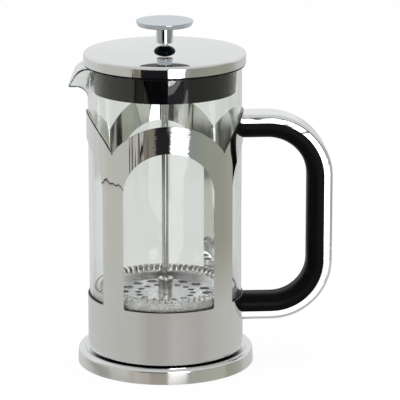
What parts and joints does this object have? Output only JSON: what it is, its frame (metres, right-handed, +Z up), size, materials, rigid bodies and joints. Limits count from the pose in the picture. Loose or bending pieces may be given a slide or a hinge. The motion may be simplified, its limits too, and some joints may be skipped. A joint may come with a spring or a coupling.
{
  "type": "french press",
  "caption": "French press: a lipped glass beaker in a polished frame with arched windows, with a round base, a side handle, a flat lid and a sliding plunger filter.",
  "frame": {"origin": "centre of the base's underside, on the beaker's axis, on the surface the press stands on", "axes": "+Z up along the plunger rod, +X towards the handle, -X towards the pouring lip"},
  "size_m": [0.1681, 0.1134, 0.2233],
  "materials": {
    "polished_steel": "mirror-polished stainless steel",
    "handle_steel": "polished steel channel",
    "plain_steel": "plain steel",
    "rod_steel": "bright drawn steel",
    "filter_steel": "pressed stainless sheet",
    "spring_steel": "bright spring wire",
    "woven_steel": "fine woven wire",
    "beaker_glass": "clear heat-resistant glass",
    "lid_black": "smooth black moulding",
    "grip_black": "satin black moulding",
    "soft_black": "matt black rubber"
  },
  "bodies": {
    "frame": {"frame_sleeve": "polished_steel", "base_dish": "polished_steel", "base_pad": "soft_black", "beaker_seat": "soft_black", "upper_lug": "plain_steel", "lower_lug": "plain_steel", "handle_shell": "handle_steel", "handle_grip": "grip_black", "handle_screws": "plain_steel"},
    "beaker": {"glass_beaker": "beaker_glass"},
    "lid": {"lid_cover": "polished_steel", "lid_insert": "lid_black", "rod_bush": "lid_black", "bush_nut": "lid_black"},
    "plunger": {"plunger_knob": "polished_steel", "plunger_rod": "rod_steel", "rod_hub": "rod_steel", "spiral_plate": "filter_steel", "edge_coil": "spring_steel", "mesh_screen": "woven_steel", "cross_plate": "filter_steel", "clamp_nut": "plain_steel"}
  },
  "joints": [
    {"name": "beaker_lift", "type": "slide", "parent": "frame", "child": "beaker", "axis": [0, 0, 1], "range_m": [0, 0.16]},
    {"name": "lid_lift", "type": "slide", "parent": "beaker", "child": "lid", "axis": [0, 0, 1], "range_m": [0, 0.165]},
    {"name": "plunger_slide", "type": "slide", "parent": "lid", "child": "plunger", "axis": [0, 0, 1], "range_m": [-0.0018, 0.125]}
  ]
}
